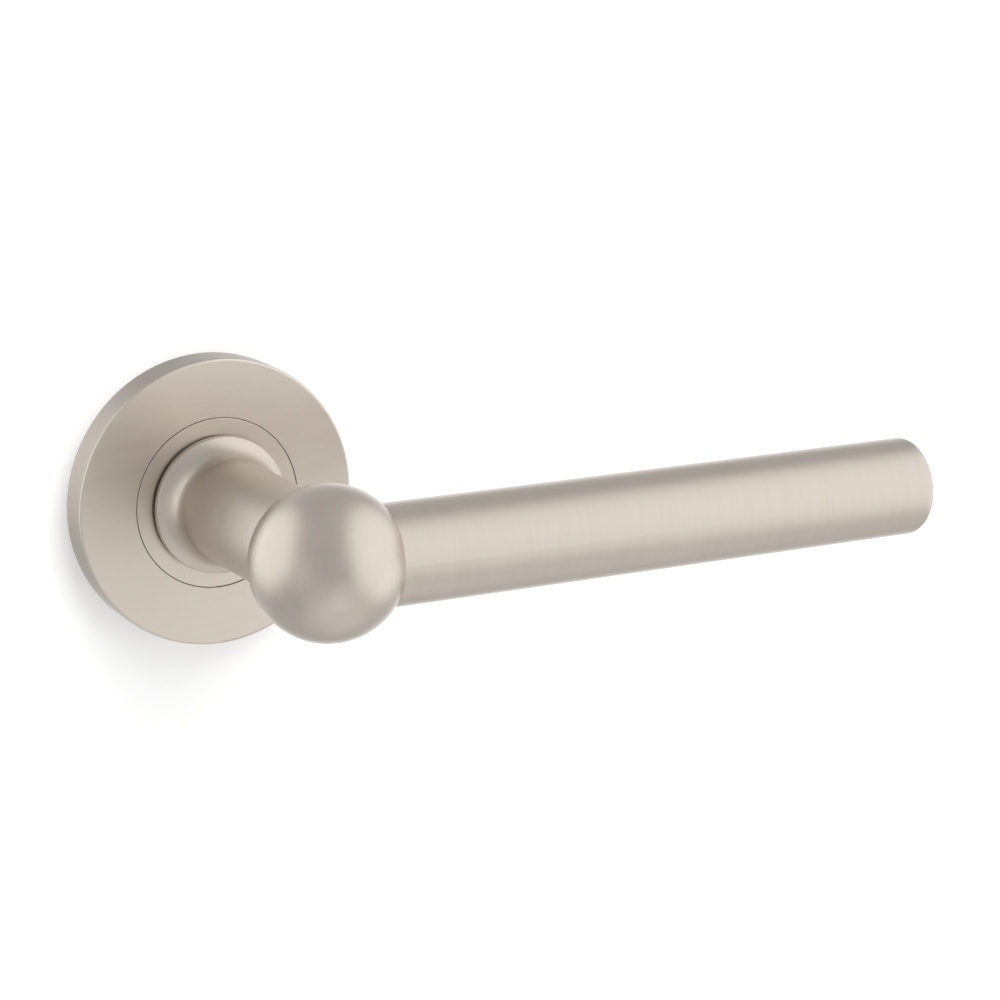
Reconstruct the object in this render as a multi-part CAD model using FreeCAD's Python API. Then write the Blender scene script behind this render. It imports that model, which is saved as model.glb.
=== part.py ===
import FreeCAD, Part
import math
import os

from FreeCAD import Vector

# Lever handle on a round rose. Millimetres. The turning axis of the lever is the Y axis.
# Y = 0 is the door's face. The handle stands out of it towards -Y and the spindle and
# bolts reach into the door along +Y. The grip points along +X and +Z is up.

# ---- Rose cover
ROSE_R = 26.0
ROSE_DEPTH = 6.3
COVER_WALL = 1.2
COVER_FACE = 1.1
COVER_EDGE_R = 0.45
COVER_INNER_EDGE_R = 0.5
COVER_BORE_R = 15.45
COVER_BORE_EDGE_R = 0.1
PRY_NOTCH_WIDTH = 5.0
PRY_NOTCH_DEPTH = 0.9

# ---- Trim ring, flush in the cover's bore
TRIM_R = 15.35
TRIM_EDGE_R = 0.1
TRIM_BORE_CLEARANCE = 0.1
BOSS_R = 12.6
BOSS_HEIGHT = 0.6
BOSS_CLEARANCE = 0.05

# ---- Mounting plate
PLATE_R = 24.3
PLATE_FRONT_Y = -5.1
PLATE_EDGE_R = 0.6
CHAMBER_R = 14.5
CHAMBER_FRONT_Y = -4.0
HUB_R = 9.5
HUB_END_Y = -2.5
FIXING_CIRCLE_R = 19.0
BOLT_HOLE_R = 2.15
BOLT_SINK_R = 4.05
WOOD_SCREW_HOLE_R = 1.9
WOOD_SCREW_SINK_R = 3.6
SNAP_GROOVE_FLOOR_R = 23.6
SNAP_GROOVE_WIDTH = 1.2

# ---- Snap ring that grips the cover
SNAP_WIRE_R = 0.5
SNAP_RING_R = 24.25
SNAP_RING_Y = -2.6
SNAP_GAP_DEG = 24.0

# ---- Back plate that closes the spring chamber, and its screws
BACK_PLATE_R = 15.8
BACK_PLATE_BACK_Y = -0.1
BACK_PLATE_THICKNESS = 0.7
BACK_PLATE_BORE_R = 8.1
BACK_PLATE_CLEARANCE = 0.1
EAR_CIRCLE_R = 17.2
EAR_R = 2.6
EAR_ANGLES_DEG = (45.0, 135.0, 225.0, 315.0)
CASSETTE_SCREW_R = 1.0
CASSETTE_HEAD_R = 1.7
CASSETTE_SCREW_LENGTH = 3.8
CASSETTE_HOLE_CLEARANCE = 0.05
CASSETTE_SLOT_WIDTH = 0.45
CASSETTE_SLOT_DEPTH = 0.4

# ---- Bearing bush
BUSH_BORE_R = 7.55
BUSH_R = 8.5
BUSH_FLANGE_R = 11.6
BUSH_FLANGE_THICKNESS = 0.5
BUSH_SEAT_CLEARANCE = 0.03

# ---- Lever neck: flange, neck and tail in one turned piece
FLANGE_R = 12.4
FLANGE_BACK_Y = -6.95
FLANGE_LIP_Y = -8.2
FLANGE_LIP_R = 0.35
FLANGE_BACK_EDGE_R = 0.2
COVE_CORNER_Y = -9.74
COVE_R = 5.06
NECK_R = 9.25
TAIL_R = 7.5
TAIL_END_Y = 2.9
TAIL_FLAT = 6.5
TAIL_FLAT_START_Y = -2.4
TAIL_EDGE = 0.4
CLIP_GROOVE_R = 7.12
CLIP_GROOVE_Y = 0.9
CLIP_GROOVE_WIDTH = 1.1
SPINDLE_SOCKET = 8.1
SPINDLE_SOCKET_END_Y = -22.0

# ---- Ball
BALL_R = 13.3
BALL_Y = -51.7
BALL_SEAM_DEG = 180.0
NECK_SEAT_Y = -42.8
GRIP_SEAT_X = 9.35
SEAT_CLEARANCE = 0.03

# ---- Grip tube, its end cap and the threaded plug in its root
GRIP_R = 8.8
GRIP_BORE_R = 6.5
GRIP_END_X = 116.8
GRIP_END_EDGE_R = 1.8
GRIP_BORE_EDGE_R = 0.15
PLUG_CLEARANCE = 0.04
END_CAP_LENGTH = 7.0
END_CAP_RECESS = 0.08
END_CAP_FACE = 2.0
END_CAP_WALL = 1.6
END_CAP_EDGE_R = 0.25
ROOT_PLUG_END_X = 27.0
ROOT_PLUG_EDGE = 0.6

# ---- Studs and dowels that join neck, ball and grip
STUD_R = 3.0
STUD_HOLE_CLEARANCE = 0.03
STUD_EDGE = 0.5
NECK_STUD_BACK_Y = -31.5
NECK_STUD_FRONT_Y = -47.2
GRIP_STUD_ROOT_X = 0.4
GRIP_STUD_TIP_X = 23.0
STUD_HOLE_EXTRA = 0.5
STUD_KEY = 3.0
STUD_KEY_DEPTH = 3.0
DOWEL_R = 1.5
DOWEL_CIRCLE_R = 6.3
DOWEL_BACK_Y = -39.0
DOWEL_FRONT_Y = -46.6
DOWEL_EDGE = 0.3
DOWEL_CLEARANCE = 0.02

# ---- Spindle and its grub screw
SPINDLE = 8.0
SPINDLE_FRONT_Y = -20.5
SPINDLE_END_Y = 58.0
SPINDLE_CORNER = 0.5
GRUB_R = 2.45
GRUB_HOLE_R = 2.5
GRUB_Y = -15.5
GRUB_TIP_Z = -4.05
GRUB_END_Z = -8.5
GRUB_KEY = 2.5
GRUB_KEY_DEPTH = 2.2
GRUB_EDGE = 0.4

# ---- Spring driver, keyed on the tail's two flats
DRIVER_R = 9.2
DRIVER_FRONT_Y = -2.35
DRIVER_BACK_Y = -0.9
DRIVER_CLEARANCE = 0.05
DRIVER_LUG_R = 11.0
DRIVER_LUG_ANGLE_DEG = 270.0
DRIVER_LUG_HALF_DEG = 15.0
DRIVER_NOTCH_FLOOR_R = 8.0

# ---- Stop pins on each side of the driver's lug
LEVER_TRAVEL_DEG = 45.0
STOP_PIN_R = 0.8
STOP_PIN_CIRCLE_R = 10.4
STOP_PIN_END_Y = -1.0
STOP_GAP = 0.15
STOP_PIN_EDGE = 0.2

# ---- Return spring of flat wire
SPRING_R = 12.85
SPRING_RADIAL = 1.9
SPRING_AXIAL = 1.0
SPRING_START_Y = -3.4
SPRING_END_Y = -1.4
SPRING_TURNS = 1.9
SPRING_MOVING_LEG_DEG = 90.0
SPRING_MOVING_LEG_R = 8.15
SPRING_FIXED_LEG_R = 16.2
LEG_WIDTH = 1.8
LEG_AXIAL = 0.9
LEG_CLEARANCE = 0.15

# ---- Washers and circlip behind the back plate
THRUST_WASHER_BORE_R = 7.9
THRUST_WASHER_R = 10.8
THRUST_WASHER_THICKNESS = 0.5
WAVE_WASHER_BORE_R = 7.65
WAVE_WASHER_R = 10.2
WAVE_WASHER_THICKNESS = 0.28
WAVE_WASHER_Y = 0.55
WAVE_HEIGHT = 0.09
WAVE_COUNT = 3
WAVE_POINTS = 36
CLIP_FRONT_Y = 0.95
CLIP_THICKNESS = 1.0
CLIP_INNER_R = 7.16
CLIP_R = 9.3
CLIP_OFFSET = 0.35
CLIP_OPENING = 2.6
CLIP_LUG_R = 1.35
CLIP_LUG_HOLE_R = 0.75
CLIP_LUG_CIRCLE_R = 9.1
CLIP_LUG_HALF_DEG = 18.0

# ---- Fixing bolts
BOLT_SHANK_R = 1.77
BOLT_THREAD_R = 2.0
BOLT_HEAD_R = 3.9
BOLT_HEAD_TOP_Y = -5.05
BOLT_THREAD_START_Y = 0.4
BOLT_END_Y = 42.0
BOLT_TIP = 0.6
BREAK_GROOVES_Y = (14.0, 22.0, 30.0)
BREAK_GROOVE_R = 1.5
BREAK_GROOVE_WIDTH = 0.8
CROSS_LENGTH = 4.4
CROSS_WIDTH = 0.95
CROSS_DEPTH = 1.9

ORIGIN = Vector(0, 0, 0)
X_AXIS = Vector(1, 0, 0)
Y_AXIS = Vector(0, 1, 0)
Z_AXIS = Vector(0, 0, 1)
BALL_CENTRE = Vector(0, BALL_Y, 0)
FULL_TURN = 360.0
HEXAGON_SIDES = 6
TOP_AND_BOTTOM_DEG = (90.0, 270.0)
LEFT_AND_RIGHT_DEG = (0.0, 180.0)
MARGIN = 1.0


# ---- Helpers

def polar(radius, angle_deg, y):
    """A point at this radius from the Y axis. The angle runs from +X towards +Z."""
    angle = math.radians(angle_deg)
    return Vector(radius * math.cos(angle), y, radius * math.sin(angle))


def rounded_wire(corners):
    """A closed wire in the XY plane through (x, y) or (x, y, fillet radius) corners."""
    points = [Vector(corner[0], corner[1], 0) for corner in corners]
    radii = [corner[2] if len(corner) > 2 else 0.0 for corner in corners]
    count = len(points)
    edges = []
    joints = []
    for i in range(count):
        corner = points[i]
        before = (points[i - 1] - corner).normalize()
        after = (points[(i + 1) % count] - corner).normalize()
        if radii[i] == 0.0:
            joints.append((corner, None, corner))
            continue
        half = before.getAngle(after) / 2
        run = radii[i] / math.tan(half)
        centre = corner + (before + after).normalize() * (radii[i] / math.sin(half))
        middle = centre + (corner - centre).normalize() * radii[i]
        joints.append((corner + before * run, middle, corner + after * run))
    for i in range(count):
        start, middle, end = joints[i]
        if middle is not None:
            edges.append(Part.Arc(start, middle, end).toShape())
        following = joints[(i + 1) % count][0]
        edges.append(Part.LineSegment(end, following).toShape())
    return Part.Wire(edges)


def turned(corners, angle_deg=FULL_TURN):
    """A solid turned about the Y axis from (radius, y) corners."""
    face = Part.Face(rounded_wire(corners))
    return face.revolve(ORIGIN, Y_AXIS, angle_deg)


def along_grip(shape):
    """Turns a piece made about the Y axis so that its axis runs along the grip."""
    laid = shape.copy()
    laid.rotate(ORIGIN, Z_AXIS, -90)
    laid.translate(BALL_CENTRE)
    return laid


def peg(radius, start, end, edge=0.0):
    """A round pin between two points, with a chamfer at each end."""
    length = (end - start).Length
    pin = Part.makeCylinder(radius, length, start, end - start)
    if edge:
        circles = [e for e in pin.Edges if e.Closed and isinstance(e.Curve, Part.Circle)]
        pin = pin.makeChamfer(edge, circles)
    return pin


def tube(outer_r, inner_r, start_y, end_y):
    """A plain ring about the Y axis."""
    return turned([(inner_r, start_y), (outer_r, start_y), (outer_r, end_y), (inner_r, end_y)])


def radial_bar(width, inner_r, outer_r, start_y, end_y, angle_deg):
    """A rectangular bar that points away from the Y axis at this angle."""
    corner = Vector(inner_r, start_y, -width / 2)
    bar = Part.makeBox(outer_r - inner_r, end_y - start_y, width, corner)
    bar.rotate(ORIGIN, Y_AXIS, -angle_deg)
    return bar


def sector(inner_r, outer_r, start_y, end_y, middle_deg, half_deg):
    """A piece of a ring about the Y axis, centred on an angle."""
    corners = [(inner_r, start_y), (outer_r, start_y), (outer_r, end_y), (inner_r, end_y)]
    piece = turned(corners, 2 * half_deg)
    piece.rotate(ORIGIN, Y_AXIS, -middle_deg - half_deg)
    return piece


def square_bar(side, start_y, end_y, corner=0.0):
    """A square bar along the Y axis, with its long corners cut off."""
    half = side / 2
    bar = Part.makeBox(side, end_y - start_y, side, Vector(-half, start_y, -half))
    if corner:
        long_edges = [e for e in bar.Edges if abs(e.tangentAt(e.FirstParameter).y) > 0.9]
        bar = bar.makeChamfer(corner, long_edges)
    return bar


def hexagon_prism(across_flats, base, direction, depth):
    """A hexagonal prism that starts at a point and runs along a direction."""
    corner_r = across_flats / 2 / math.cos(math.pi / HEXAGON_SIDES)
    points = []
    for i in range(HEXAGON_SIDES + 1):
        angle = 2 * math.pi * i / HEXAGON_SIDES
        points.append(Vector(corner_r * math.cos(angle), corner_r * math.sin(angle), 0))
    prism = Part.Face(Part.makePolygon(points)).extrude(Z_AXIS * depth)
    prism.Placement = FreeCAD.Placement(base, FreeCAD.Rotation(Z_AXIS, direction))
    return prism


# ---- Fixed pieces

def make_mounting_plate():
    """Cast plate: front wall with a boss and hub, and a spring chamber open at the back."""
    back_recess_y = BACK_PLATE_BACK_Y - BACK_PLATE_THICKNESS
    recess_r = BACK_PLATE_R + BACK_PLATE_CLEARANCE
    hub_bore_r = BUSH_R + BUSH_SEAT_CLEARANCE
    groove_front_y = SNAP_RING_Y - SNAP_GROOVE_WIDTH / 2
    groove_back_y = SNAP_RING_Y + SNAP_GROOVE_WIDTH / 2
    plate = turned([
        (hub_bore_r, PLATE_FRONT_Y - BOSS_HEIGHT),
        (BOSS_R, PLATE_FRONT_Y - BOSS_HEIGHT),
        (BOSS_R, PLATE_FRONT_Y),
        (PLATE_R, PLATE_FRONT_Y, PLATE_EDGE_R),
        (PLATE_R, groove_front_y),
        (SNAP_GROOVE_FLOOR_R, groove_front_y),
        (SNAP_GROOVE_FLOOR_R, groove_back_y),
        (PLATE_R, groove_back_y),
        (PLATE_R, 0),
        (recess_r, 0),
        (recess_r, back_recess_y),
        (CHAMBER_R, back_recess_y),
        (CHAMBER_R, CHAMBER_FRONT_Y),
        (HUB_R, CHAMBER_FRONT_Y),
        (HUB_R, HUB_END_Y),
        (hub_bore_r, HUB_END_Y),
    ])
    cuts = []
    for angle in TOP_AND_BOTTOM_DEG:
        cuts.append(sunk_hole(BOLT_HOLE_R, BOLT_SINK_R, angle))
    for angle in LEFT_AND_RIGHT_DEG:
        cuts.append(sunk_hole(WOOD_SCREW_HOLE_R, WOOD_SCREW_SINK_R, angle))
    for angle in EAR_ANGLES_DEG:
        ear_start = polar(EAR_CIRCLE_R, angle, back_recess_y)
        ear_end = polar(EAR_CIRCLE_R, angle, MARGIN)
        cuts.append(peg(EAR_R + BACK_PLATE_CLEARANCE, ear_start, ear_end))
        screw_tip_y = BACK_PLATE_BACK_Y - CASSETTE_SCREW_LENGTH - CASSETTE_HOLE_CLEARANCE
        screw_start = polar(EAR_CIRCLE_R, angle, screw_tip_y)
        cuts.append(peg(CASSETTE_SCREW_R + CASSETTE_HOLE_CLEARANCE, screw_start, ear_end))
    for angle in stop_pin_angles():
        start = polar(STOP_PIN_CIRCLE_R, angle, PLATE_FRONT_Y - BOSS_HEIGHT - MARGIN)
        end = polar(STOP_PIN_CIRCLE_R, angle, CHAMBER_FRONT_Y + MARGIN)
        cuts.append(peg(STOP_PIN_R, start, end))
    cuts.append(radial_bar(
        LEG_WIDTH + 2 * LEG_CLEARANCE,
        SPRING_R,
        SPRING_FIXED_LEG_R + LEG_CLEARANCE,
        CHAMBER_FRONT_Y,
        MARGIN,
        fixed_leg_angle(),
    ))
    return plate.cut(cuts).removeSplitter()


def sunk_hole(hole_r, sink_r, angle_deg):
    """A through hole with a right-angled countersink, on the circle of the fixings."""
    depth = sink_r - hole_r
    front = polar(FIXING_CIRCLE_R, angle_deg, PLATE_FRONT_Y)
    cone = Part.makeCone(sink_r, hole_r, depth, front, Y_AXIS)
    bore = peg(hole_r, front - Y_AXIS * MARGIN, front + Y_AXIS * (MARGIN - PLATE_FRONT_Y))
    mouth = peg(sink_r, front - Y_AXIS * MARGIN, front)
    return cone.fuse([bore, mouth])


def make_trim_ring():
    """Flat ring that fills the cover's bore, seated over the plate's boss."""
    front_y = -ROSE_DEPTH
    bore_r = BUSH_R + TRIM_BORE_CLEARANCE
    counterbore_y = PLATE_FRONT_Y - BOSS_HEIGHT - BOSS_CLEARANCE
    return turned([
        (bore_r, front_y),
        (TRIM_R, front_y, TRIM_EDGE_R),
        (TRIM_R, PLATE_FRONT_Y),
        (BOSS_R + BOSS_CLEARANCE, PLATE_FRONT_Y),
        (BOSS_R + BOSS_CLEARANCE, counterbore_y),
        (bore_r, counterbore_y),
    ])


def make_bearing_bush():
    """Flanged nylon bush in which the lever's tail turns."""
    flange_back_y = -ROSE_DEPTH
    flange_front_y = flange_back_y - BUSH_FLANGE_THICKNESS
    return turned([
        (BUSH_BORE_R, flange_front_y, TRIM_EDGE_R),
        (BUSH_FLANGE_R, flange_front_y, TRIM_EDGE_R),
        (BUSH_FLANGE_R, flange_back_y),
        (BUSH_R, flange_back_y),
        (BUSH_R, HUB_END_Y),
        (BUSH_BORE_R, HUB_END_Y),
    ])


def make_cover_snap_ring():
    """Split ring of round wire in the plate's rim groove."""
    centre = Vector(SNAP_RING_R, SNAP_RING_Y, 0)
    section = Part.Face(Part.Wire(Part.makeCircle(SNAP_WIRE_R, centre, Z_AXIS)))
    ring = section.revolve(ORIGIN, Y_AXIS, FULL_TURN - SNAP_GAP_DEG)
    ring.rotate(ORIGIN, Y_AXIS, 90 + SNAP_GAP_DEG / 2)
    return ring


def make_stop_pins():
    """Two pins in the plate's front wall that end the lever's travel."""
    pins = []
    for angle in stop_pin_angles():
        start = polar(STOP_PIN_CIRCLE_R, angle, PLATE_FRONT_Y)
        end = polar(STOP_PIN_CIRCLE_R, angle, STOP_PIN_END_Y)
        pins.append(peg(STOP_PIN_R, start, end, STOP_PIN_EDGE))
    return Part.makeCompound(pins)


def stop_pin_angles():
    """Angles of the stop pins: one where the lug rests, one at the end of its travel."""
    stand_off = math.degrees(math.asin((STOP_PIN_R + STOP_GAP) / STOP_PIN_CIRCLE_R))
    rest = DRIVER_LUG_ANGLE_DEG + DRIVER_LUG_HALF_DEG + stand_off
    full = DRIVER_LUG_ANGLE_DEG - DRIVER_LUG_HALF_DEG - LEVER_TRAVEL_DEG - stand_off
    return rest, full


def make_cassette_back_plate():
    """Steel disc with four ears that closes the spring chamber."""
    front_y = BACK_PLATE_BACK_Y - BACK_PLATE_THICKNESS
    disc = tube(BACK_PLATE_R, BACK_PLATE_BORE_R, front_y, BACK_PLATE_BACK_Y)
    ears = []
    cuts = []
    for angle in EAR_ANGLES_DEG:
        front = polar(EAR_CIRCLE_R, angle, front_y)
        back = polar(EAR_CIRCLE_R, angle, BACK_PLATE_BACK_Y)
        ears.append(peg(EAR_R, front, back))
        hole_r = CASSETTE_SCREW_R + CASSETTE_HOLE_CLEARANCE
        head_r = CASSETTE_HEAD_R + CASSETTE_HOLE_CLEARANCE
        cuts.append(Part.makeCone(hole_r, head_r, BACK_PLATE_THICKNESS, front, Y_AXIS))
        cuts.append(peg(hole_r, front - Y_AXIS * MARGIN, back))
    return disc.fuse(ears).cut(cuts).removeSplitter()


def make_cassette_screws():
    """Four small countersunk screws through the ears of the back plate."""
    screws = []
    head_y = BACK_PLATE_BACK_Y - BACK_PLATE_THICKNESS
    tip_y = BACK_PLATE_BACK_Y - CASSETTE_SCREW_LENGTH
    for angle in EAR_ANGLES_DEG:
        neck = polar(EAR_CIRCLE_R, angle, head_y)
        tip = polar(EAR_CIRCLE_R, angle, tip_y)
        top = polar(EAR_CIRCLE_R, angle, BACK_PLATE_BACK_Y)
        head = Part.makeCone(CASSETTE_SCREW_R, CASSETTE_HEAD_R, BACK_PLATE_THICKNESS, neck, Y_AXIS)
        shank = Part.makeCylinder(CASSETTE_SCREW_R, (neck - tip).Length, tip, Y_AXIS)
        slot_corner = Vector(-CASSETTE_HEAD_R - MARGIN, -CASSETTE_SLOT_DEPTH, -CASSETTE_SLOT_WIDTH / 2)
        slot = Part.makeBox(
            2 * (CASSETTE_HEAD_R + MARGIN), CASSETTE_SLOT_DEPTH + MARGIN, CASSETTE_SLOT_WIDTH, slot_corner
        )
        slot.rotate(ORIGIN, Y_AXIS, angle)
        slot.translate(top)
        screws.append(head.fuse(shank).cut(slot))
    return Part.makeCompound(screws)


def make_thrust_washer():
    """Flat washer on the back of the closing plate."""
    back_y = BACK_PLATE_BACK_Y + THRUST_WASHER_THICKNESS
    return tube(THRUST_WASHER_R, THRUST_WASHER_BORE_R, BACK_PLATE_BACK_Y, back_y)


def make_fixing_bolts():
    """Two countersunk machine bolts with break-off grooves, above and below the spindle."""
    head_depth = BOLT_HEAD_R - BOLT_SHANK_R
    profile = [
        (0, BOLT_HEAD_TOP_Y),
        (BOLT_HEAD_R, BOLT_HEAD_TOP_Y),
        (BOLT_SHANK_R, BOLT_HEAD_TOP_Y + head_depth),
        (BOLT_SHANK_R, BOLT_THREAD_START_Y),
        (BOLT_THREAD_R, BOLT_THREAD_START_Y),
    ]
    for y in BREAK_GROOVES_Y:
        profile.append((BOLT_THREAD_R, y))
        profile.append((BREAK_GROOVE_R, y + BREAK_GROOVE_WIDTH / 2))
        profile.append((BOLT_THREAD_R, y + BREAK_GROOVE_WIDTH))
    profile.append((BOLT_THREAD_R, BOLT_END_Y - BOLT_TIP))
    profile.append((BOLT_THREAD_R - BOLT_TIP, BOLT_END_Y))
    profile.append((0, BOLT_END_Y))
    bolt = turned(profile)
    half_length = CROSS_LENGTH / 2
    half_width = CROSS_WIDTH / 2
    top_y = BOLT_HEAD_TOP_Y - MARGIN
    depth = CROSS_DEPTH + MARGIN
    across = Part.makeBox(CROSS_LENGTH, depth, CROSS_WIDTH, Vector(-half_length, top_y, -half_width))
    upright = Part.makeBox(CROSS_WIDTH, depth, CROSS_LENGTH, Vector(-half_width, top_y, -half_length))
    bolt = bolt.cut([across, upright])
    bolts = []
    for angle in TOP_AND_BOTTOM_DEG:
        placed = bolt.copy()
        placed.translate(polar(FIXING_CIRCLE_R, angle, 0))
        bolts.append(placed)
    return Part.makeCompound(bolts)


# ---- Return spring

def fixed_leg_angle():
    """Angle of the spring's leg that is held in the mounting plate."""
    return (SPRING_MOVING_LEG_DEG + FULL_TURN * SPRING_TURNS) % FULL_TURN


def make_return_spring():
    """Flat-wire torsion spring: one leg in the plate in front, one in the driver behind."""
    rise = SPRING_END_Y - SPRING_START_Y
    helix = Part.makeHelix(rise / SPRING_TURNS, rise, SPRING_R)
    half_radial = SPRING_RADIAL / 2
    half_axial = SPRING_AXIAL / 2
    corners = [
        Vector(SPRING_R - half_radial, 0, -half_axial),
        Vector(SPRING_R + half_radial, 0, -half_axial),
        Vector(SPRING_R + half_radial, 0, half_axial),
        Vector(SPRING_R - half_radial, 0, half_axial),
        Vector(SPRING_R - half_radial, 0, -half_axial),
    ]
    section = Part.makePolygon(corners)
    coil = Part.Wire(helix.Edges).makePipeShell([section], True, True)
    coil.rotate(ORIGIN, X_AXIS, -90)
    coil.translate(Y_AXIS * SPRING_START_Y)
    coil.rotate(ORIGIN, Y_AXIS, -fixed_leg_angle())
    fixed_leg = radial_bar(
        LEG_WIDTH,
        SPRING_R,
        SPRING_FIXED_LEG_R,
        SPRING_START_Y - LEG_AXIAL / 2,
        SPRING_START_Y + LEG_AXIAL / 2,
        fixed_leg_angle(),
    )
    moving_leg = radial_bar(
        LEG_WIDTH,
        SPRING_MOVING_LEG_R,
        SPRING_R,
        SPRING_END_Y - LEG_AXIAL / 2,
        SPRING_END_Y + LEG_AXIAL / 2,
        SPRING_MOVING_LEG_DEG,
    )
    return coil.fuse([fixed_leg, moving_leg])


# ---- Pieces that turn with the lever

def make_lever_neck():
    """Neck with its coved flange, and the tail that passes through the rose."""
    groove_back_y = CLIP_GROOVE_Y + CLIP_GROOVE_WIDTH
    neck = turned([
        (0, NECK_SEAT_Y),
        (NECK_R, NECK_SEAT_Y),
        (NECK_R, COVE_CORNER_Y, COVE_R),
        (FLANGE_R, FLANGE_LIP_Y, FLANGE_LIP_R),
        (FLANGE_R, FLANGE_BACK_Y, FLANGE_BACK_EDGE_R),
        (TAIL_R, FLANGE_BACK_Y),
        (TAIL_R, CLIP_GROOVE_Y),
        (CLIP_GROOVE_R, CLIP_GROOVE_Y),
        (CLIP_GROOVE_R, groove_back_y),
        (TAIL_R, groove_back_y),
        (TAIL_R, TAIL_END_Y - TAIL_EDGE),
        (TAIL_R - TAIL_EDGE, TAIL_END_Y),
        (0, TAIL_END_Y),
    ])
    cuts = [
        square_bar(SPINDLE_SOCKET, SPINDLE_SOCKET_END_Y, TAIL_END_Y + MARGIN),
        peg(GRUB_HOLE_R, Vector(0, GRUB_Y, -NECK_R - MARGIN), Vector(0, GRUB_Y, GRUB_TIP_Z + MARGIN)),
        peg(
            STUD_R + STUD_HOLE_CLEARANCE,
            Y_AXIS * (NECK_SEAT_Y - MARGIN),
            Y_AXIS * (NECK_STUD_BACK_Y + STUD_HOLE_EXTRA),
        ),
    ]
    cuts += tail_flat_cuts(TAIL_FLAT, TAIL_FLAT_START_Y, TAIL_END_Y + MARGIN)
    cuts += dowel_holes()
    return neck.cut(cuts)


def tail_flat_cuts(flat, start_y, end_y):
    """Two blocks that leave a pair of flats at this distance above and below the axis."""
    width = 2 * (TAIL_R + MARGIN)
    height = TAIL_R + MARGIN - flat
    upper = Part.makeBox(width, end_y - start_y, height, Vector(-width / 2, start_y, flat))
    lower = Part.makeBox(width, end_y - start_y, height, Vector(-width / 2, start_y, -flat - height))
    return [upper, lower]


def dowel_holes():
    """Holes for the two dowels that lock the ball on the neck."""
    holes = []
    for angle in TOP_AND_BOTTOM_DEG:
        back = polar(DOWEL_CIRCLE_R, angle, DOWEL_BACK_Y + STUD_HOLE_EXTRA)
        front = polar(DOWEL_CIRCLE_R, angle, DOWEL_FRONT_Y - STUD_HOLE_EXTRA)
        holes.append(peg(DOWEL_R + DOWEL_CLEARANCE, front, back))
    return holes


def make_neck_dowels():
    """Two dowels that stop the ball from turning on the neck."""
    dowels = []
    for angle in TOP_AND_BOTTOM_DEG:
        back = polar(DOWEL_CIRCLE_R, angle, DOWEL_BACK_Y)
        front = polar(DOWEL_CIRCLE_R, angle, DOWEL_FRONT_Y)
        dowels.append(peg(DOWEL_R, front, back, DOWEL_EDGE))
    return Part.makeCompound(dowels)


def make_neck_stud():
    """Threaded stud that draws the ball on to the neck."""
    stud = peg(STUD_R, Y_AXIS * NECK_STUD_FRONT_Y, Y_AXIS * NECK_STUD_BACK_Y, STUD_EDGE)
    socket_top = Y_AXIS * NECK_STUD_FRONT_Y
    return stud.cut(hexagon_prism(STUD_KEY, socket_top, Y_AXIS, STUD_KEY_DEPTH))


def make_lever_ball():
    """Ball with a flat seat for the neck and another for the grip."""
    ball = Part.makeSphere(BALL_R, BALL_CENTRE)
    ball.rotate(BALL_CENTRE, Z_AXIS, BALL_SEAM_DEG)
    neck_seat = peg(NECK_R + SEAT_CLEARANCE, Y_AXIS * NECK_SEAT_Y, Y_AXIS * (BALL_Y + BALL_R + MARGIN))
    grip_seat = along_grip(peg(GRIP_R + SEAT_CLEARANCE, Y_AXIS * GRIP_SEAT_X, Y_AXIS * (BALL_R + MARGIN)))
    neck_hole = peg(
        STUD_R + STUD_HOLE_CLEARANCE,
        Y_AXIS * (NECK_STUD_FRONT_Y - STUD_HOLE_EXTRA),
        Y_AXIS * (NECK_SEAT_Y + MARGIN),
    )
    grip_hole = along_grip(peg(
        STUD_R + STUD_HOLE_CLEARANCE,
        Y_AXIS * (GRIP_STUD_ROOT_X - STUD_HOLE_EXTRA),
        Y_AXIS * (GRIP_SEAT_X + MARGIN),
    ))
    return ball.cut([neck_seat, grip_seat, neck_hole, grip_hole] + dowel_holes())


def make_grip_tube():
    """Round tube of the grip."""
    return along_grip(turned([
        (GRIP_BORE_R, GRIP_SEAT_X),
        (GRIP_R, GRIP_SEAT_X),
        (GRIP_R, GRIP_END_X, GRIP_END_EDGE_R),
        (GRIP_BORE_R, GRIP_END_X, GRIP_BORE_EDGE_R),
    ]))


def make_grip_end_cap():
    """Plug with a flat face that closes the end of the grip."""
    face_x = GRIP_END_X - END_CAP_RECESS
    plug_r = GRIP_BORE_R - PLUG_CLEARANCE
    return along_grip(turned([
        (0, face_x),
        (plug_r, face_x, END_CAP_EDGE_R),
        (plug_r, face_x - END_CAP_LENGTH, END_CAP_EDGE_R),
        (plug_r - END_CAP_WALL, face_x - END_CAP_LENGTH),
        (plug_r - END_CAP_WALL, face_x - END_CAP_FACE),
        (0, face_x - END_CAP_FACE),
    ]))


def make_grip_root_plug():
    """Threaded plug pressed into the root of the grip tube."""
    plug_r = GRIP_BORE_R - PLUG_CLEARANCE
    hole_r = STUD_R + STUD_HOLE_CLEARANCE
    return along_grip(turned([
        (hole_r, GRIP_SEAT_X),
        (plug_r, GRIP_SEAT_X),
        (plug_r, ROOT_PLUG_END_X - ROOT_PLUG_EDGE),
        (plug_r - ROOT_PLUG_EDGE, ROOT_PLUG_END_X),
        (hole_r, ROOT_PLUG_END_X),
    ]))


def make_grip_stud():
    """Threaded stud that holds the grip on the ball."""
    stud = peg(STUD_R, Y_AXIS * GRIP_STUD_ROOT_X, Y_AXIS * GRIP_STUD_TIP_X, STUD_EDGE)
    socket_top = Y_AXIS * GRIP_STUD_TIP_X
    socket = hexagon_prism(STUD_KEY, socket_top, -Y_AXIS, STUD_KEY_DEPTH)
    return along_grip(stud.cut(socket))


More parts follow.
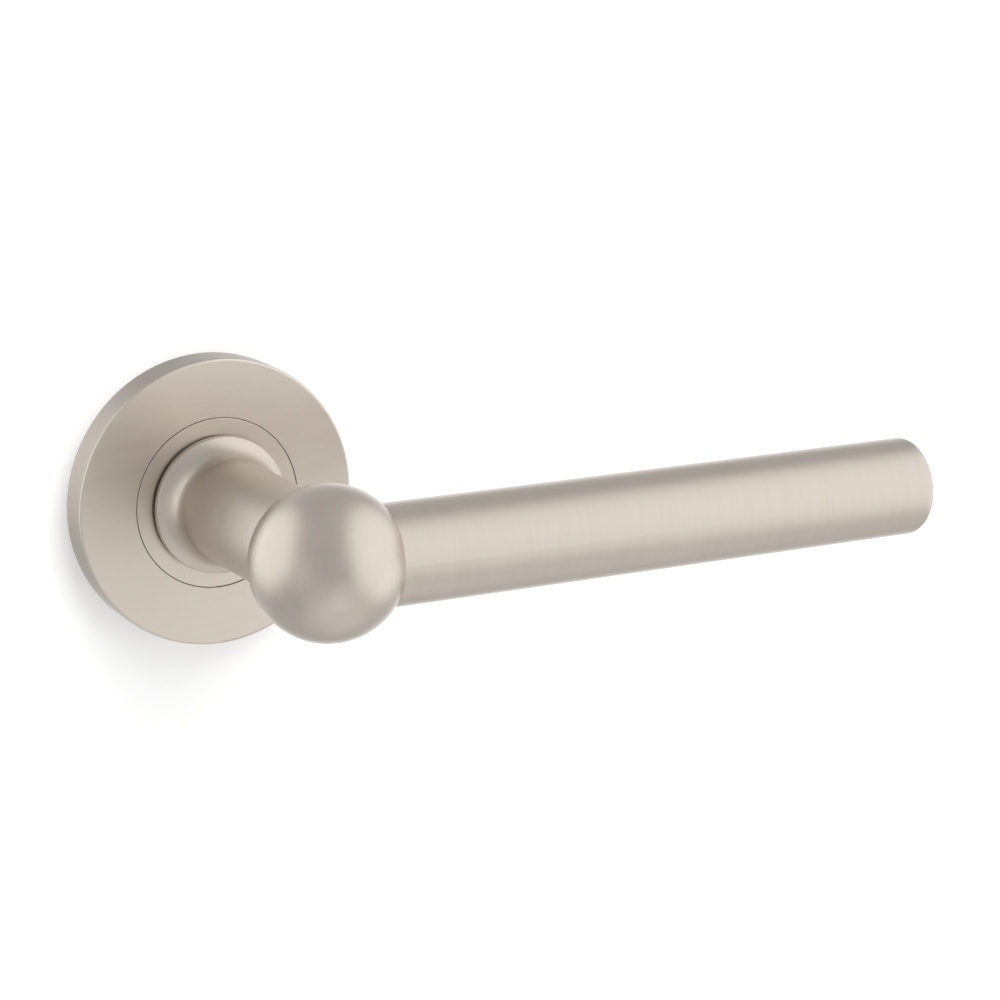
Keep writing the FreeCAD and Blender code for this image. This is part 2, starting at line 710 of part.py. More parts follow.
def make_spindle():
    """Square bar that works the latch."""
    bar = square_bar(SPINDLE, SPINDLE_FRONT_Y, SPINDLE_END_Y, SPINDLE_CORNER)
    end_edges = [e for e in bar.Edges if abs(e.CenterOfMass.y - SPINDLE_END_Y) < MARGIN / 2]
    return bar.makeChamfer(SPINDLE_CORNER, end_edges)


def make_spindle_grub_screw():
    """Socket set screw under the neck that clamps the spindle."""
    tip = Vector(0, GRUB_Y, GRUB_TIP_Z)
    end = Vector(0, GRUB_Y, GRUB_END_Z)
    screw = peg(GRUB_R, end, tip, GRUB_EDGE)
    return screw.cut(hexagon_prism(GRUB_KEY, end, Z_AXIS, GRUB_KEY_DEPTH))


def make_spring_driver():
    """Ring on the tail's flats, with a lug for the stops and a notch for the spring's leg."""
    hole_r = TAIL_R + DRIVER_CLEARANCE
    solid_ring = tube(DRIVER_R, hole_r / 2, DRIVER_FRONT_Y, DRIVER_BACK_Y)
    key_hole = peg(hole_r, Y_AXIS * (DRIVER_FRONT_Y - MARGIN), Y_AXIS * (DRIVER_BACK_Y + MARGIN))
    key_hole = key_hole.cut(tail_flat_cuts(
        TAIL_FLAT + DRIVER_CLEARANCE,
        DRIVER_FRONT_Y - 2 * MARGIN,
        DRIVER_BACK_Y + 2 * MARGIN,
    ))
    lug = sector(
        DRIVER_R - MARGIN,
        DRIVER_LUG_R,
        DRIVER_FRONT_Y,
        DRIVER_BACK_Y,
        DRIVER_LUG_ANGLE_DEG,
        DRIVER_LUG_HALF_DEG,
    )
    notch = radial_bar(
        LEG_WIDTH + 2 * LEG_CLEARANCE,
        DRIVER_NOTCH_FLOOR_R,
        DRIVER_R + MARGIN,
        DRIVER_FRONT_Y - MARGIN,
        DRIVER_BACK_Y + MARGIN,
        SPRING_MOVING_LEG_DEG,
    )
    return solid_ring.fuse(lug).cut([key_hole, notch]).removeSplitter()


def make_wave_washer():
    """Thin spring washer with waves round it, between the thrust washer and the circlip."""
    rims = []
    for radius in (WAVE_WASHER_BORE_R, WAVE_WASHER_R):
        points = []
        for i in range(WAVE_POINTS):
            angle = FULL_TURN * i / WAVE_POINTS
            wave = WAVE_HEIGHT * math.sin(math.radians(WAVE_COUNT * angle))
            points.append(polar(radius, angle, WAVE_WASHER_Y + wave))
        rim = Part.BSplineCurve()
        rim.interpolate(Points=points, PeriodicFlag=True)
        rims.append(rim.toShape())
    sheet = Part.makeRuledSurface(rims[0], rims[1])
    return sheet.extrude(Y_AXIS * WAVE_WASHER_THICKNESS)


def make_retaining_circlip():
    """External circlip with two eyes, in the groove at the end of the tail."""
    back_y = CLIP_FRONT_Y + CLIP_THICKNESS
    above = Z_AXIS * CLIP_OFFSET
    body = peg(CLIP_R, above + Y_AXIS * CLIP_FRONT_Y, above + Y_AXIS * back_y)
    lugs = []
    cuts = [peg(CLIP_INNER_R, Y_AXIS * (CLIP_FRONT_Y - MARGIN), Y_AXIS * (back_y + MARGIN))]
    for side in (-1, 1):
        angle = 270.0 + side * CLIP_LUG_HALF_DEG
        front = polar(CLIP_LUG_CIRCLE_R, angle, CLIP_FRONT_Y)
        back = polar(CLIP_LUG_CIRCLE_R, angle, back_y)
        lugs.append(peg(CLIP_LUG_R, front, back))
        cuts.append(peg(CLIP_LUG_HOLE_R, front - Y_AXIS, back + Y_AXIS))
    cuts.append(Part.makeBox(
        CLIP_OPENING,
        CLIP_THICKNESS + 2 * MARGIN,
        CLIP_R + CLIP_LUG_R,
        Vector(-CLIP_OPENING / 2, CLIP_FRONT_Y - MARGIN, -CLIP_R - CLIP_LUG_R),
    ))
    return body.fuse(lugs).cut(cuts).removeSplitter()


# ---- Cover

def make_rose_cover():
    """Drawn cap with an open centre that hides the mounting plate."""
    front_y = -ROSE_DEPTH
    face_back_y = front_y + COVER_FACE
    inner_r = ROSE_R - COVER_WALL
    cover = turned([
        (COVER_BORE_R, front_y, COVER_BORE_EDGE_R),
        (ROSE_R, front_y, COVER_EDGE_R),
        (ROSE_R, 0),
        (inner_r, 0),
        (inner_r, face_back_y, COVER_INNER_EDGE_R),
        (COVER_BORE_R, face_back_y),
    ])
    notch = Part.makeBox(
        PRY_NOTCH_WIDTH,
        PRY_NOTCH_DEPTH + MARGIN,
        COVER_WALL + 2 * MARGIN,
        Vector(-PRY_NOTCH_WIDTH / 2, -PRY_NOTCH_DEPTH, -ROSE_R - MARGIN),
    )
    return cover.cut(notch)


PARTS = {
    "mounting_plate": make_mounting_plate,
    "trim_ring": make_trim_ring,
    "bearing_bush": make_bearing_bush,
    "cover_snap_ring": make_cover_snap_ring,
    "stop_pins": make_stop_pins,
    "return_spring": make_return_spring,
    "cassette_back_plate": make_cassette_back_plate,
    "cassette_screws": make_cassette_screws,
    "thrust_washer": make_thrust_washer,
    "fixing_bolts": make_fixing_bolts,
    "lever_neck": make_lever_neck,
    "lever_ball": make_lever_ball,
    "neck_stud": make_neck_stud,
    "neck_dowels": make_neck_dowels,
    "grip_tube": make_grip_tube,
    "grip_end_cap": make_grip_end_cap,
    "grip_root_plug": make_grip_root_plug,
    "grip_stud": make_grip_stud,
    "spindle": make_spindle,
    "spindle_grub_screw": make_spindle_grub_screw,
    "spring_driver": make_spring_driver,
    "wave_washer": make_wave_washer,
    "retaining_circlip": make_retaining_circlip,
    "rose_cover": make_rose_cover,
}

os.makedirs("parts", exist_ok=True)
for name, make in PARTS.items():
    shape = make()
    shape.exportStep("parts/" + name + ".step")
    print(name, len(shape.Solids), "solids", round(shape.Volume, 2), "mm3", shape.isValid())
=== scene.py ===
import math

import bmesh
import bpy
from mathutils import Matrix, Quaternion, Vector


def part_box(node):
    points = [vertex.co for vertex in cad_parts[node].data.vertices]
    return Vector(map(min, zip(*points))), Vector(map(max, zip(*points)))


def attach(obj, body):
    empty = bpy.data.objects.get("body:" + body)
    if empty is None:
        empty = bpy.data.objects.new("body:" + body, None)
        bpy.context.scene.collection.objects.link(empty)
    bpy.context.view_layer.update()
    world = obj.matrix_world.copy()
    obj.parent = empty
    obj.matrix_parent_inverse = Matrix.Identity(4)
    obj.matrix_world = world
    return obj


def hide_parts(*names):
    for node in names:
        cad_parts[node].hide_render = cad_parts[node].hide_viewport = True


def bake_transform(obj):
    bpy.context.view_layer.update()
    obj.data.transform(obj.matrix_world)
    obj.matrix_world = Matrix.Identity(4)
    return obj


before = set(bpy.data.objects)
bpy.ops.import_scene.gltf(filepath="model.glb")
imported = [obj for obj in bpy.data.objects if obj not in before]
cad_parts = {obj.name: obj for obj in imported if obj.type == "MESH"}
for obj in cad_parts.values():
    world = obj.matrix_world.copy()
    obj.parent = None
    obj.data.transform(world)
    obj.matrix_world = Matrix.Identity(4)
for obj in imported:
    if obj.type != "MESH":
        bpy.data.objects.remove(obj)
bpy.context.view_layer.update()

# Looks of the lever handle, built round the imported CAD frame. Metres, same frame as the CAD:
# the lever turns about the Y axis, the door's face is Y = 0, the viewer is at -Y, the grip
# points along +X and +Z is up.

MM = 0.001

# ---- Camera, placed as for the photograph
CAMERA_PLACE = Vector((-0.2120, -0.5022, 0.1368))
CAMERA_AIM = Vector((0.0322, -0.0517, 0.0070))
CAMERA_ROLL_DEG = 0.26
CAMERA_LENS_MM = 112.6
SENSOR_MM = 36.0
NEAR_CLIP = 0.01
FAR_CLIP = 20.0

# ---- Stage
WALL_GAP = 0.05 * MM
WALL_R = 2.0
WALL_HOLE_R = 24.0 * MM
WALL_SIDES = 96
FLOOR_Z = -0.45
FLOOR_HALF = 15.0
WALL_GREY = 0.92
FLOOR_GREY = 0.80
PAINT_GLOW = 0.10
PAINT_CLOUD = 0.02

# ---- Studio light: azimuth, elevation, half width and edge width in degrees, and strength
ROOM_LEVEL = 0.59
SOFTBOXES = {
    "right": (62.0, 13.0, 49.0, 28.0, 0.68),
    "right_back": (147.0, -12.0, 26.0, 28.0, 0.55),
    "low_right": (80.0, -48.0, 24.0, 40.0, 0.10),
    "low_front": (6.0, -34.0, 15.0, 26.0, 0.18),
    "low_left": (-28.0, -36.0, 18.0, 30.0, 0.12),
    "left": (-70.0, 0.0, 16.0, 30.0, 0.14),
    "left_back": (-122.0, 15.0, 38.0, 28.0, 0.68),
    "behind": (185.0, 0.0, 36.0, 30.0, 0.12),
    "below": (0.0, -72.0, 24.0, 40.0, 0.22),
}
WALL_LIGHT_AZIMUTH = 27.0
WALL_LIGHT_ELEVATION = 52.0
WALL_LIGHT_DISTANCE = 1.3
WALL_LIGHT_SIZE = 1.1
WALL_LIGHT_POWER = 13.0

# ---- Thread of the fixing bolts (M4)
THREAD_PITCH = 0.7 * MM
THREAD_DEPTH = 0.40 * MM
THREAD_ROWS_PER_TURN = 4
THREAD_SIDES = 28
THREAD_START_Y = 0.4 * MM
THREAD_OVERLAP = 0.3 * MM
THREAD_TIP = 0.6 * MM
THREAD_CORE_R = 1.2 * MM
THREAD_CREST_R = 2.0 * MM
BREAK_GROOVES_Y = (14.0 * MM, 22.0 * MM, 30.0 * MM)
BREAK_GROOVE_R = 1.5 * MM
BREAK_GROOVE_WIDTH = 0.8 * MM
SHANK_CUT_Y = 0.2 * MM
WELD_REACH = 0.001 * MM

# ---- Sizes read from the frame
GRIP_LOW, GRIP_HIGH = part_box("grip_tube")
ROSE_LOW, ROSE_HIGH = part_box("rose_cover")
BOLT_LOW, BOLT_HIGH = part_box("fixing_bolts")
GRIP_Y = (GRIP_LOW.y + GRIP_HIGH.y) / 2
GRIP_R = (GRIP_HIGH.z - GRIP_LOW.z) / 2
ROSE_R = ROSE_HIGH.x
TRIM_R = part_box("trim_ring")[1].x
BOLT_HEAD_R = (BOLT_HIGH.x - BOLT_LOW.x) / 2
ON_AXIS = (0.0, 0.0, 0.0)
ON_GRIP = (0.0, GRIP_Y, 0.0)

# ---- Satin nickel
NICKEL_DARK = (0.585, 0.525, 0.463, 1.0)
NICKEL_LIGHT = (0.625, 0.565, 0.503, 1.0)
NICKEL_ROUGHNESS = 0.30
ROSE_ROUGHNESS = 0.36
NICKEL_ANISOTROPY = 0.35
QUARTER_TURN = 0.25
FACE_STROKE_DEG = 6.0
# Painted light on the rose's face and painted shade on its side wall, as factors on their colour
ROSE_FACE_PAINTED_LIGHT = 1.11
ROSE_SIDE_PAINTED_SHADE = 0.76
EDGE_TURN_START = 0.2 * MM
EDGE_TURN_END = 0.5 * MM

# ---- Brushing. Fineness counts noise cells in a metre across the marks, and length along them
FINENESS = 2800.0
BALL_FINENESS = 1200.0
RING_SHARE = 0.8
STROKE_LENGTH = 320.0
TURNED_ARC = 3.0
GRIP_ARC = 1.6
BALL_ARC = 4.0
BROAD_SCALE = 0.22
FINE_SHARE = 0.55
BROAD_SHARE = 0.45
STREAK_SHARE = 0.7
CLOUD_SHARE = 0.3
CLOUD_SCALE = 55.0
GRAIN_SCALE = 5200.0
GRAIN_HEIGHT = 0.25
STREAK_ROUGHNESS = 0.025
CLOUD_ROUGHNESS = 0.015
WORN_ROUGHNESS = 0.06
WORN_TINT = 0.35
STREAK_BUMP = 0.06
ROSE_BUMP = 0.11
BALL_BUMP = 0.04
BUMP_DEPTH = 0.02 * MM
CAST_BUMP_DEPTH = 0.03 * MM

# ---- Range of a noise that its colours and roughnesses are spread over
NOISE_LOW = 0.3
NOISE_HIGH = 0.7


# ---------------------------------------------------------------- node helpers

class Graph:
    """Adds shader nodes to one new material and joins them."""

    def __init__(self, name):
        self.material = bpy.data.materials.new(name)
        self.material.use_nodes = True
        self.nodes = self.material.node_tree.nodes
        self.links = self.material.node_tree.links
        self.shader = self.nodes["Principled BSDF"]

    def add(self, kind, inputs=(), **settings):
        """A node of this kind. An input's value is a number, a tuple, or a socket to join."""
        node = self.nodes.new("ShaderNode" + kind)
        for key, value in settings.items():
            setattr(node, key, value)
        for key, value in dict(inputs).items():
            self.put(node.inputs[key], value)
        return node

    def put(self, socket, value):
        """Joins a socket to an input, or sets the input's own value."""
        if isinstance(value, bpy.types.NodeSocket):
            self.links.new(value, socket)
        else:
            socket.default_value = value

    def maths(self, operation, a, b=0.0, clamp=False):
        return self.add("Math", {0: a, 1: b}, operation=operation, use_clamp=clamp).outputs[0]

    def vector(self, operation, a, b=(0.0, 0.0, 0.0)):
        node = self.add("VectorMath", {0: a, 1: b}, operation=operation)
        return node.outputs["Value" if operation in ("LENGTH", "DOT_PRODUCT") else "Vector"]

    def scaled(self, vector, scale):
        return self.vector("MULTIPLY", vector, scale)

    def place(self):
        """The point on the object, in metres of the shared frame."""
        return self.add("TexCoord").outputs["Object"]

    def noise(self, vector, scale=1.0, detail=2.0, roughness=0.5):
        values = {"Vector": vector, "Scale": scale, "Detail": detail, "Roughness": roughness}
        return self.add("TexNoise", values).outputs["Fac"]

    def spread(self, value, low, high, to_low=0.0, to_high=1.0):
        """Maps a range on to another range, without running past its ends."""
        values = {"Value": value, "From Min": low, "From Max": high, "To Min": to_low, "To Max": to_high}
        return self.add("MapRange", values, clamp=True).outputs["Result"]

    def blend(self, factor, a, b):
        """A colour between two colours."""
        node = self.add("Mix", data_type="RGBA")
        self.put(node.inputs[0], factor)
        self.put(node.inputs[6], a)
        self.put(node.inputs[7], b)
        return node.outputs[2]

    def mixture(self, a, share_a, b, share_b):
        """A share of one value and a share of another."""
        part_b = self.maths("MULTIPLY", b, share_b)
        return self.maths("ADD", self.maths("MULTIPLY", a, share_a), part_b)

    def bump(self, height, strength, distance=BUMP_DEPTH):
        values = {"Height": height, "Strength": strength, "Distance": distance}
        return self.add("Bump", values).outputs["Normal"]

    def shade(self, **inputs):
        """Sets the principled shader's inputs by name, with _ for a space."""
        for key, value in inputs.items():
            self.put(self.shader.inputs[key.replace("_", " ")], value)
        return self.material


def around_axis(graph, axis, centre):
    """For a turned piece: the unit vector out from its axis, and the distance from it."""
    keep = (0.0, 1.0, 1.0) if axis == "X" else (1.0, 0.0, 1.0)
    out = graph.scaled(graph.vector("SUBTRACT", graph.place(), centre), keep)
    return graph.vector("NORMALIZE", out), graph.vector("LENGTH", out)


def turned_marks(graph, axis, centre, arc=TURNED_ARC, fineness=FINENESS):
    """Coordinates that stretch a noise round the axis, as a lathe or belt leaves its marks."""
    unit, radius = around_axis(graph, axis, centre)
    along = (fineness, 0.0, 0.0) if axis == "X" else (0.0, fineness, 0.0)
    lines = graph.scaled(graph.place(), along)
    rings = graph.add("CombineXYZ", {axis: graph.maths("MULTIPLY", radius, fineness * RING_SHARE)})
    position = graph.vector("ADD", lines, rings.outputs[0])
    return graph.vector("ADD", position, graph.scaled(unit, (arc, arc, arc)))


def stroke_directions():
    """Along and across the straight strokes on the rose's face."""
    slope = math.radians(FACE_STROKE_DEG)
    return (math.cos(slope), 0.0, math.sin(slope)), (-math.sin(slope), 0.0, math.cos(slope))


def straight_marks(graph):
    """Coordinates that stretch a noise along the strokes on the rose's face."""
    place = graph.place()
    along, across = (graph.vector("DOT_PRODUCT", place, line) for line in stroke_directions())
    values = {
        "X": graph.maths("MULTIPLY", along, STROKE_LENGTH),
        "Z": graph.maths("MULTIPLY", across, FINENESS),
    }
    return graph.add("CombineXYZ", values).outputs[0]


def near_ring(graph, axis, centre, ring_radius, ring_place, reach):
    """1 on a turned edge, falling to 0 at this reach from it."""
    radius = around_axis(graph, axis, centre)[1]
    split = graph.add("SeparateXYZ", {0: graph.place()})
    along = graph.maths("SUBTRACT", split.outputs[axis], ring_place)
    out = graph.maths("SUBTRACT", radius, ring_radius)
    gap = graph.vector("LENGTH", graph.add("CombineXYZ", {"X": along, "Y": out}).outputs[0])
    return graph.spread(gap, 0.0, reach, 1.0, 0.0)


# ---------------------------------------------------------------- materials

def satin_nickel(
    name, lines, tangent=None, rotation=0.0, edges=(),
    streak_bump=STREAK_BUMP, roughness=NICKEL_ROUGHNESS, shade=None,
):
    """Plated satin nickel. lines(graph) gives the brushing; edges are places worn smoother;
    shade(graph), where given, is a colour factor that paints light and shade on the surface.
    """
    graph = Graph(name)
    marks = lines(graph)
    fine = graph.noise(marks, detail=3.0, roughness=0.6)
    broad = graph.noise(graph.scaled(marks, (BROAD_SCALE,) * 3), detail=2.0)
    cloud = graph.noise(graph.place(), scale=CLOUD_SCALE, detail=2.0)
    grain = graph.noise(graph.place(), scale=GRAIN_SCALE, detail=1.0)
    streak = graph.mixture(fine, FINE_SHARE, broad, BROAD_SHARE)
    mixed = graph.mixture(streak, STREAK_SHARE, cloud, CLOUD_SHARE)
    colour = graph.blend(graph.spread(mixed, 0.34, 0.66), NICKEL_DARK, NICKEL_LIGHT)
    rough = graph.spread(
        streak, NOISE_LOW, NOISE_HIGH, roughness - STREAK_ROUGHNESS, roughness + STREAK_ROUGHNESS
    )
    patchy = graph.spread(cloud, NOISE_LOW, NOISE_HIGH, -CLOUD_ROUGHNESS, CLOUD_ROUGHNESS)
    rough = graph.maths("ADD", rough, patchy)
    for edge in edges:
        worn = near_ring(graph, *edge)
        rough = graph.maths("SUBTRACT", rough, graph.maths("MULTIPLY", worn, WORN_ROUGHNESS))
        colour = graph.blend(graph.maths("MULTIPLY", worn, WORN_TINT), colour, NICKEL_LIGHT)
    # Painted light and shade: the shade factor lightens or darkens the colour where light falls
    if shade:
        colour = graph.scaled(colour, shade(graph))
    height = graph.maths("ADD", streak, graph.maths("MULTIPLY", grain, GRAIN_HEIGHT))
    graph.shade(
        Base_Color=colour,
        Metallic=1.0,
        Roughness=rough,
        Normal=graph.bump(height, streak_bump),
    )
    if tangent:
        graph.shade(
            Anisotropic=NICKEL_ANISOTROPY, Anisotropic_Rotation=rotation, Tangent=tangent(graph)
        )
    return graph.material


def rose_is_side(graph):
    """1 on the rose's side wall, 0 on its face, with a soft change over the rounded edge."""
    along = graph.add("SeparateXYZ", {0: graph.place()}).outputs["Y"]
    return graph.spread(along, ROSE_LOW.y + EDGE_TURN_START, ROSE_LOW.y + EDGE_TURN_END)


def mix_vectors(graph, factor, a, b):
    node = graph.add("Mix", data_type="VECTOR")
    graph.put(node.inputs[0], factor)
    graph.put(node.inputs[4], a)
    graph.put(node.inputs[5], b)
    return node.outputs[1]


def rose_marks(graph):
    """Straight strokes across the face, and marks round the side wall."""
    side = turned_marks(graph, "Y", ON_AXIS)
    return mix_vectors(graph, rose_is_side(graph), straight_marks(graph), side)


def rose_tangent(graph):
    """Across the strokes on the face, and along the door's axis on the side wall."""
    _, across = stroke_directions()
    return mix_vectors(graph, rose_is_side(graph), across, (0.0, 1.0, 0.0))


def rose_painted_light_and_shade(graph):
    """Painted light and shade: a colour factor that lightens the face and darkens the side wall, with a
    soft change over the rounded edge; the side wall is also brushed the other way.
    """
    return graph.spread(rose_is_side(graph), 0.0, 1.0, ROSE_FACE_PAINTED_LIGHT, ROSE_SIDE_PAINTED_SHADE)


def neck_marks(graph):
    return turned_marks(graph, "Y", ON_AXIS)


def grip_marks(graph):
    return turned_marks(graph, "X", ON_GRIP, arc=GRIP_ARC)


def ball_marks(graph):
    return turned_marks(graph, "Y", ON_GRIP, arc=BALL_ARC, fineness=BALL_FINENESS)


def around(axis):
    """The direction round a turned piece's axis."""
    return lambda graph: graph.add("Tangent", direction_type="RADIAL", axis=axis).outputs[0]


def make_materials():
    """One material for each finish, with the nodes that wear it."""
    # The rose's colour carries painted light on its face and painted shade on its side wall
    rose = satin_nickel("satin_nickel_rose", rose_marks, rose_tangent, edges=[
        ("Y", ON_AXIS, ROSE_R, ROSE_LOW.y, 0.7 * MM),
        ("Y", ON_AXIS, TRIM_R, ROSE_LOW.y, 0.25 * MM),
    ], streak_bump=ROSE_BUMP, roughness=ROSE_ROUGHNESS, shade=rose_painted_light_and_shade)
    neck = satin_nickel("satin_nickel_neck", neck_marks, around("Y"), QUARTER_TURN)
    ball = satin_nickel("satin_nickel_ball", ball_marks, streak_bump=BALL_BUMP)
    grip = satin_nickel("satin_nickel_grip", grip_marks, around("X"), QUARTER_TURN, edges=[
        ("X", ON_GRIP, GRIP_R, GRIP_HIGH.x, 1.2 * MM),
    ])
    return {
        rose: ["rose_cover", "trim_ring"],
        neck: ["lever_neck"],
        ball: ["lever_ball"],
        grip: ["grip_tube", "grip_end_cap"],
        cast_zinc(): ["mounting_plate"],
        plated_steel(): [
            "cassette_back_plate", "cassette_screws", "thrust_washer", "fixing_bolts", "spindle",
            "neck_stud", "neck_dowels", "grip_stud", "stop_pins", "spring_driver",
        ],
        spring_steel(): ["return_spring", "wave_washer", "retaining_circlip", "cover_snap_ring"],
        black_oxide(): ["spindle_grub_screw"],
        turned_brass(): ["grip_root_plug"],
        black_nylon(): ["bearing_bush"],
    }


def finished(graph, tone, tones, tints, wear, roughness, height, bump, depth=BUMP_DEPTH, metallic=1.0):
    """Colour between two tints as tone runs over tones, and roughness as wear runs over its range."""
    colour = graph.blend(graph.spread(tone, *tones), *tints)
    rough = graph.spread(wear, NOISE_LOW, NOISE_HIGH, *roughness)
    normal = graph.bump(height, bump, depth)
    return graph.shade(Base_Color=colour, Metallic=metallic, Roughness=rough, Normal=normal)


def cast_zinc():
    """Die-cast zinc: grey, slightly mottled, with a fine cast skin."""
    graph = Graph("cast_zinc")
    blotch = graph.noise(graph.place(), scale=260.0, detail=4.0, roughness=0.65)
    skin = graph.noise(graph.place(), scale=3200.0, detail=3.0)
    tints = (0.36, 0.365, 0.375, 1), (0.52, 0.52, 0.53, 1)
    height = graph.maths("ADD", skin, graph.maths("MULTIPLY", blotch, 0.6))
    tones = NOISE_LOW, NOISE_HIGH
    return finished(graph, blotch, tones, tints, blotch, (0.42, 0.58), height, 0.35, CAST_BUMP_DEPTH)


def plated_steel():
    """Bright zinc plate over steel, with the faint blue cast and drag marks it comes with."""
    graph = Graph("zinc_plated_steel")
    patch = graph.noise(graph.place(), scale=180.0, detail=3.0)
    drag = graph.noise(graph.scaled(graph.place(), (5200.0, 260.0, 5200.0)), detail=3.0)
    tints = (0.55, 0.58, 0.63, 1), (0.70, 0.70, 0.68, 1)
    return finished(graph, patch, (0.35, 0.65), tints, drag, (0.22, 0.36), drag, 0.15)


def filmed(name, scale, detail, tints, roughness, bump, metallic=1.0):
    """A finish whose colour, roughness and surface all follow one fine noise."""
    graph = Graph(name)
    film = graph.noise(graph.place(), scale=scale, detail=detail)
    tones = NOISE_LOW, NOISE_HIGH
    return finished(graph, film, tones, tints, film, roughness, film, bump, metallic=metallic)


def spring_steel():
    """Oiled dark spring steel."""
    tints = (0.13, 0.125, 0.12, 1), (0.26, 0.245, 0.23, 1)
    return filmed("spring_steel", 420.0, 3.0, tints, (0.26, 0.42), 0.1)


def black_oxide():
    """Blackened steel of the set screw."""
    tints = (0.022, 0.022, 0.024, 1), (0.06, 0.06, 0.062, 1)
    return filmed("black_oxide_steel", 900.0, 3.0, tints, (0.32, 0.48), 0.12)


def black_nylon():
    """Moulded black nylon with a fine matt skin."""
    tints = (0.030, 0.028, 0.026, 1), (0.055, 0.052, 0.048, 1)
    return filmed("black_nylon", 2600.0, 2.0, tints, (0.48, 0.62), 0.2, metallic=0.0)


def turned_brass():
    """Brass straight from the lathe."""
    graph = Graph("turned_brass")
    rings = graph.noise(turned_marks(graph, "X", ON_GRIP), detail=2.0)
    tints = (0.62, 0.44, 0.19, 1), (0.78, 0.58, 0.28, 1)
    tones = NOISE_LOW, NOISE_HIGH
    return finished(graph, rings, tones, tints, rings, (0.22, 0.34), rings, 0.15)


def one_sided_paint(name, grey):
    """Matt paint that shows only on a surface's front, so that the back of the rose stays in view."""
    graph = Graph(name)
    colour = (grey, grey, grey, 1.0)
    shadier = (FLOOR_GREY, FLOOR_GREY, FLOOR_GREY, 1.0)
    cloud = graph.noise(graph.place(), scale=3.0, detail=2.0)
    tint = graph.blend(graph.spread(cloud, NOISE_LOW, NOISE_HIGH, 0.0, PAINT_CLOUD), colour, shadier)
    graph.shade(
        Base_Color=tint, Roughness=0.9, Emission_Color=colour, Emission_Strength=PAINT_GLOW
    )
    clear = graph.add("BsdfTransparent").outputs[0]
    side = graph.add("NewGeometry").outputs["Backfacing"]
    mixed = graph.add("MixShader", {0: side, 1: graph.shader.outputs[0], 2: clear})
    graph.put(graph.nodes["Material Output"].inputs["Surface"], mixed.outputs[0])
    return graph.material


# ---------------------------------------------------------------- pieces made here

def new_piece(name, mesh, material):
    mesh.materials.clear()
    mesh.materials.append(material)
    mesh.polygons.foreach_set("material_index", [0] * len(mesh.polygons))
    piece = bpy.data.objects.new(name, mesh)
    bpy.context.scene.collection.objects.link(piece)
    return piece


def thread_radius(y, turn):
    """Radius of the thread at this height and this part of a turn, grooves and tip included."""
    phase = (y / THREAD_PITCH - turn) % 1.0
    flank = abs(2.0 * phase - 1.0)
    radius = THREAD_CREST_R - THREAD_DEPTH * flank
    for groove_y in BREAK_GROOVES_Y:
        from_middle = abs(y - groove_y - BREAK_GROOVE_WIDTH / 2) / (BREAK_GROOVE_WIDTH / 2)
        if from_middle < 1.0:
            groove_r = BREAK_GROOVE_R + (THREAD_CREST_R - BREAK_GROOVE_R) * from_middle
            radius = min(radius, groove_r)
    return min(radius, THREAD_CREST_R - THREAD_TIP + max(0.0, BOLT_HIGH.y - y))


def add_thread(mesh, centre_z):
    """A closed threaded bar along Y."""
    span = BOLT_HIGH.y - THREAD_START_Y
    count = round(span / THREAD_PITCH * THREAD_ROWS_PER_TURN)
    heights = [THREAD_START_Y + span * i / count for i in range(count + 1)]
    rings = [ring_of(mesh, THREAD_START_Y - THREAD_OVERLAP, centre_z, lambda turn: THREAD_CORE_R)]
    for y in heights:
        rings.append(ring_of(mesh, y, centre_z, lambda turn, y=y: thread_radius(y, turn)))
    for low, high in zip(rings, rings[1:]):
        for i in range(THREAD_SIDES):
            after = (i + 1) % THREAD_SIDES
            mesh.faces.new((low[i], high[i], high[after], low[after]))
    mesh.faces.new(rings[0])
    mesh.faces.new(reversed(rings[-1]))


def ring_of(mesh, y, centre_z, radius_at):
    """A ring of corners round a bolt's axis, with the radius that each part of a turn has."""
    ring = []
    for i in range(THREAD_SIDES):
        turn = i / THREAD_SIDES
        angle = 2 * math.pi * turn
        radius = radius_at(turn)
        ring.append(mesh.verts.new((radius * math.cos(angle), y, centre_z + radius * math.sin(angle))))
    return ring


def make_threaded_bolts(material):
    """The fixing bolts' own heads and shanks, with a cut thread in place of the plain bar."""
    mesh = bmesh.new()
    mesh.from_mesh(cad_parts["fixing_bolts"].data)
    cut = bmesh.ops.bisect_plane(
        mesh,
        geom=mesh.verts[:] + mesh.edges[:] + mesh.faces[:],
        plane_co=(0.0, SHANK_CUT_Y, 0.0),
        plane_no=(0.0, 1.0, 0.0),
        clear_outer=True,
    )["geom_cut"]
    rim = [part for part in cut if isinstance(part, bmesh.types.BMVert)]
    bmesh.ops.remove_doubles(mesh, verts=rim, dist=WELD_REACH)
    rim_edges = [
        edge for edge in mesh.edges
        if all(abs(corner.co.y - SHANK_CUT_Y) < WELD_REACH for corner in edge.verts)
    ]
    for face in bmesh.ops.holes_fill(mesh, edges=rim_edges, sides=0)["faces"]:
        face.normal_update()
        if face.normal.y < 0.0:
            face.normal_flip()
    for centre_z in (BOLT_HIGH.z - BOLT_HEAD_R, BOLT_LOW.z + BOLT_HEAD_R):
        add_thread(mesh, centre_z)
    data = bpy.data.meshes.new("threaded_fixing_bolts")
    mesh.to_mesh(data)
    mesh.free()
    bolts = new_piece("threaded_fixing_bolts", data, material)
    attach(bolts, "rose_base")
    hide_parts("fixing_bolts")


def make_twisting_spring(material):
    """The return spring, copied from the CAD part into a piece of its own, with its place baked into the
    mesh.
    """
    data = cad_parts["return_spring"].data.copy()
    data.name = "wound_return_spring"
    spring = new_piece("wound_return_spring", data, material)
    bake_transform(spring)
    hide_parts("return_spring")


# ---------------------------------------------------------------- stage, lights, camera

